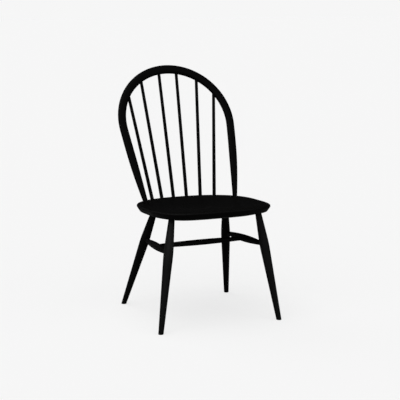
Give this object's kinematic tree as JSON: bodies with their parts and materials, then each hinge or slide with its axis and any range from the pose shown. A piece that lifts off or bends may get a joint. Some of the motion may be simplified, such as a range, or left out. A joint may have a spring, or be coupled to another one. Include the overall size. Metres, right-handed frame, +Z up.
{
  "type": "windsor chair",
  "caption": "Bow-back wooden side chair with sticks, saddled seat, splayed tapered legs and an H stretcher.",
  "frame": {"origin": "on the floor, under the middle of the chair's overall box, on its plane of symmetry", "axes": "+X to the sitter's left, -Y out of the front of the seat, +Z up"},
  "size_m": [0.5192, 0.6016, 0.9729],
  "materials": {
    "seat_wood": "black satin lacquer",
    "bow_wood": "black satin lacquer",
    "spindle_wood": "black satin lacquer",
    "leg_wood": "black satin lacquer",
    "stretcher_wood": "black satin lacquer",
    "wedge_wood": "black satin lacquer"
  },
  "bodies": {
    "root": {"seat": "seat_wood", "bow": "bow_wood", "spindle_1": "spindle_wood", "spindle_2": "spindle_wood", "spindle_3": "spindle_wood", "spindle_4": "spindle_wood", "spindle_5": "spindle_wood", "spindle_6": "spindle_wood", "leg_front_left": "leg_wood", "leg_front_right": "leg_wood", "leg_rear_left": "leg_wood", "leg_rear_right": "leg_wood", "side_stretcher_left": "stretcher_wood", "side_stretcher_right": "stretcher_wood", "cross_stretcher": "stretcher_wood", "leg_wedge_front_left": "wedge_wood", "leg_wedge_front_right": "wedge_wood", "leg_wedge_rear_left": "wedge_wood", "leg_wedge_rear_right": "wedge_wood", "bow_wedge_left": "wedge_wood", "bow_wedge_right": "wedge_wood"}
  },
  "joints": []
}
